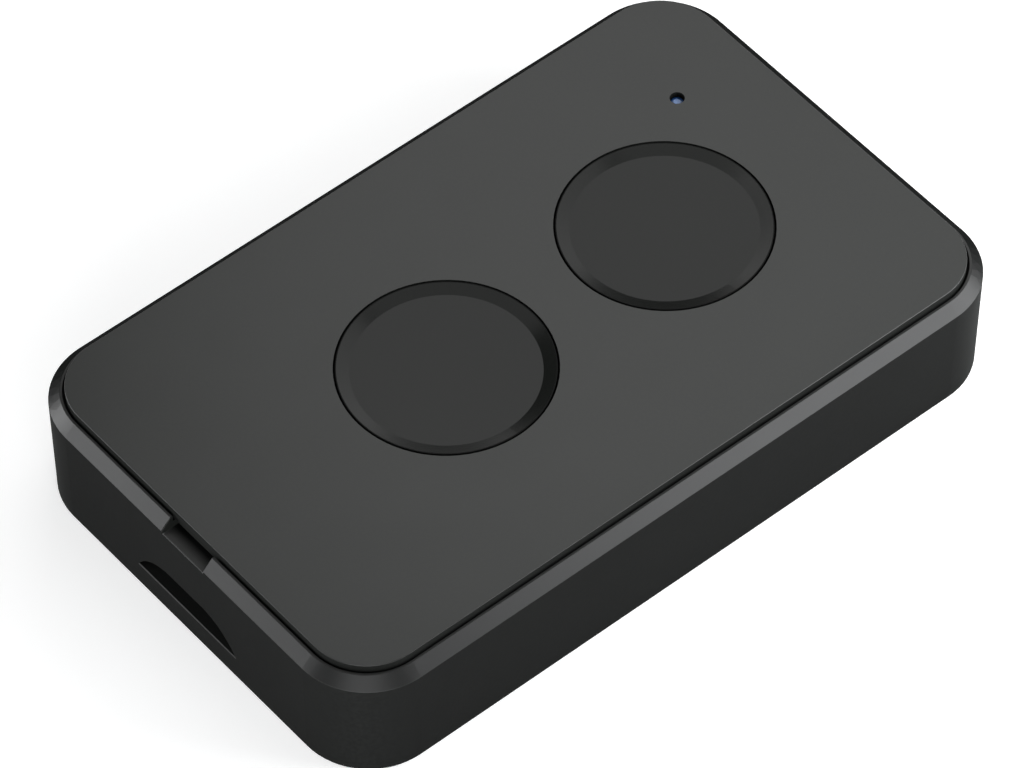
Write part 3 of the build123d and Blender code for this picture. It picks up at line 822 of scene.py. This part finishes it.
# Corners of the etched lines, each with its width
traces = (
    (0.30, ((-2.12, -18.2), (-2.12, -16.2), (-8.6, -9.72), (-8.6, 14.5), (-4.35, 18.75), (-4.35, 21.2))),
    (0.30, ((-0.84, -18.2), (-0.84, -16.0), (-3.6, -13.24), (-3.6, -11.08), (-1.9, -9.38))),
    (0.30, ((0.43, -18.2), (0.43, -14.4), (1.9, -12.93), (1.9, -9.38))),
    (0.30, ((1.69, -18.2), (1.69, -16.6), (4.6, -13.69), (4.6, 2.3), (3.65, 3.25))),
    (0.40, ((2.35, 3.29), (0.65, 3.29))),
    (0.40, ((-0.65, 3.29), (-2.35, 3.29))),
    (0.30, ((-3.65, 3.29), (-5.35, 4.99), (-5.35, 12.97))),
    (0.30, ((3.65, 3.29), (3.65, 5.5), (1.9, 7.25), (1.9, 9.97))),
    (0.30, ((-1.9, -3.38), (-1.9, 0.2), (-1.1, 1.0), (-1.1, 2.6), (-0.65, 3.05))),
    (0.30, ((10.29, 16.5), (10.29, 14.2), (7.4, 11.31), (7.4, -10.2), (6.05, -11.55), (6.05, -19.5))),
    (0.22, ((9.79, 16.5), (9.79, 15.6), (9.2, 15.0), (8.4, 15.0), (7.55, 15.85), (7.55, 18.5))),
    (0.22, ((9.79, 20.5), (9.79, 21.5), (8.9, 22.4), (0.9, 22.4))),
    (0.22, ((10.29, 20.5), (10.29, 22.2), (9.1, 23.4), (0.7, 23.4))),
    (0.22, ((10.79, 20.5), (10.79, 22.6), (11.6, 23.4), (11.6, 24.2))),
    (0.22, ((10.79, 16.5), (10.79, 13.4), (10.35, 12.96), (10.35, 11.0))),
    (0.22, ((11.79, 16.5), (11.79, 14.6), (12.3, 14.1), (12.3, 12.6))),
    (0.60, ((11.65, 11.0), (13.4, 11.3))),
    (0.60, ((-11.65, 11.0), (-13.4, 11.3))),
    (0.40, ((-10.35, 11.0), (-9.7, 11.0))),
    (0.30, ((6.25, 18.5), (4.43, 18.5), (1.9, 15.97))),
    (0.30, ((-1.9, 15.97), (-1.9, 18.8), (-0.4, 20.3), (-0.4, 21.6))),
    (0.40, ((-7.3, 21.2), (-5.65, 21.2))),
    (0.40, ((-9.1, 21.2), (-10.6, 21.2), (-11.2, 20.6), (-11.2, 17.6))),
    (0.30, ((-2.12, -23.0), (-2.12, -24.3), (-2.8, -25.0), (-9.4, -25.0))),
    (0.30, ((1.69, -23.0), (1.69, -24.3), (2.4, -25.0), (9.0, -25.0))),
    (0.25, ((-0.84, -23.0), (-0.84, -25.2))),
    (0.25, ((0.43, -23.0), (0.43, -25.2))),
    (0.30, ((-4.75, -19.5), (-3.6, -19.5), (-2.3, -18.2))),
    (0.30, ((-4.75, -21.7), (-3.6, -21.7), (-2.3, -23.0))),
    (0.30, ((4.75, -21.7), (3.2, -21.7), (1.9, -23.0))),
    (0.30, ((4.75, -19.5), (3.2, -19.5), (1.9, -18.2))),
    (0.50, ((-6.05, -21.7), (-8.2, -21.7), (-9.9, -20.0), (-9.9, -14.0))),
    (0.50, ((-6.05, -19.5), (-7.4, -19.5), (-8.3, -20.4), (-8.3, -21.3))),
    (0.50, ((6.05, -21.7), (8.3, -21.7), (10.2, -19.8), (10.2, -12.5))),
    (0.30, ((-5.35, -6.38), (-4.4, -6.38), (-1.9, -3.88), (-1.9, -3.38))),
    (0.40, ((-6.65, -6.38), (-7.5, -6.38))),
    (0.40, ((-6.65, 12.97), (-7.5, 12.97))),
    (0.30, ((1.9, -3.38), (2.9, -2.38), (2.9, 0.1), (5.9, 3.1), (5.9, 7.6))),
)
plated_holes = (
    (-7.5, -6.38), (-7.5, 12.97), (-9.9, -14.0), (10.2, -12.5), (-9.4, -25.0), (9.0, -25.0), (-9.7, 11.0),
    (5.9, 7.6), (11.6, 24.2), (12.3, 12.6), (-11.2, 17.6), (12.6, -3.0), (12.6, -7.5), (-12.6, -3.0),
    (-12.6, 1.5), (9.8, 2.5), (-11.0, -8.0), (11.4, -24.2), (-13.2, -24.2),
)
test_pads = (
    (-0.84, -25.2), (0.43, -25.2), (-13.0, -12.0), (-13.0, -9.5), (-13.0, -7.0), (13.0, -12.0),
    (13.0, -14.0),
)

# Corners of the printed outlines round the larger parts
outlines = (
    ((-3.0, -10.2), (3.0, -10.2), (3.0, -2.5), (-3.0, -2.5)),
    ((-3.0, 9.2), (3.0, 9.2), (3.0, 16.8), (-3.0, 16.8)),
    ((-3.0, -24.0), (3.0, -24.0), (3.0, -17.2), (-3.0, -17.2)),
    ((9.0, 15.6), (12.8, 15.6), (12.8, 21.3), (9.0, 21.3)),
    ((-2.4, 20.75), (1.6, 20.75), (1.6, 24.05), (-2.4, 24.05)),
    ((-9.5, 20.4), (-6.95, 20.4), (-6.95, 22.0), (-9.5, 22.0)),
)
ink_spots = ((-3.45, -17.9), (8.6, 15.9), (-2.8, 21.0), (-9.9, 21.2))
chip_spots = (("microcontroller", (-1.8, -21.9), 0.28), ("radio_chip", (9.85, 17.45), 0.2))


def dress_board():
    """Etched lines under the lacquer, tinned pads, solder, plated holes and printed outlines."""
    top = board_top + trace_height
    lines = [strip(path, width, board_top, top) for width, path in traces]
    lines += [disc(path[0], trace_end_radius, board_top, top) for width, path in traces]
    add_piece("board_traces", lines, masked_copper)

    # Each kind of terminal: how far its pad stands out round it, and its solder's spread and height
    terminals = (
        (solids("chip_terminals"), 0.22, 1.0, 1.0),
        (solids("switch_terminals"), 0.3, 1.1, 0.9),
        ([*feet("microcontroller_leads"), *feet("radio_chip_leads")], 0.1, 0.35, 0.35),
    )
    top = board_top + pad_height
    pads = [pad(*box, grow) for boxes, grow, scale, rise in terminals for box in boxes]
    pads += [disc(place, test_pad_radius, board_top, top) for place in test_pads]
    pads += [ring_spot(place, *plated_rim, board_top, top) for place in plated_holes]
    add_piece("board_pads", pads, looks["tinned_metal"], smooth=True)

    joints = [solder_fillet(*box, scale, rise) for boxes, grow, scale, rise in terminals for box in boxes]
    add_piece("solder_joints", joints, solder, smooth=True)

    top = board_top + ink_height
    prints = [strip(corners, ink_width, board_top, top, closed=True) for corners in outlines]
    prints += [disc(place, ink_spot_radius, board_top, top) for place in ink_spots]
    for name, place, radius in chip_spots:
        chip_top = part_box(name)[1].z / MM
        prints.append(disc(place, radius, chip_top + chip_ink[0], chip_top + chip_ink[1]))
    add_piece("board_print", prints, ink)


dress_board()


def add_snap_dome(switch):
    """A switch's snap dome: a copy of its node's mesh on the case's body, with the node hidden."""
    node = f"{switch}_switch_dome"
    dome = bpy.data.objects.new(f"{switch}_snap_dome", nodes[node].data.copy())
    bpy.context.scene.collection.objects.link(dome)
    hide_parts(node)
    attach(dome, "case")
    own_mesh(dome)


for switch in ("upper", "lower"):
    add_snap_dome(switch)


def add_floor():
    """A pale floor that shows white behind the object and takes its shadow, with painted shade under the
    case where its glow is left out.
    """
    h = floor_half_size
    mesh = bpy.data.meshes.new("floor")
    mesh.from_pydata([(-h, -h, 0), (h, -h, 0), (h, h, 0), (-h, h, 0)], [], [(0, 1, 2, 3)])
    floor = bpy.data.objects.new("floor", mesh)
    bpy.context.scene.collection.objects.link(floor)
    g = Graph("floor", floor_roughness, specular=0.0)
    g.set("Base Color", floor_color)
    rays = g.add("ShaderNodeLightPath").outputs
    seen = g.math("MAXIMUM", rays["Is Camera Ray"], rays["Is Glossy Ray"])
    seen = g.math("MAXIMUM", seen, rays["Is Transmission Ray"])
    near, far = floor_white_from
    glow = g.spread(g.radius((0.0, 0.0)), floor_glow, 1.0, start=near, end=far)
    # No glow within the case's footprint: painted shade under the case
    outside_painted_shade = g.fade(g.reach(), *shade_footprint_edge)
    g.set("Emission Color", (1, 1, 1, 1))
    g.set("Emission Strength", g.math("MULTIPLY", g.math("MULTIPLY", seen, outside_painted_shade), glow))
    mesh.materials.append(g.material)


add_camera()
add_world()
add_floor()
for name, values in lamps.items():
    add_lamp(name, *values)
bpy.context.scene.view_settings.view_transform = "Standard"
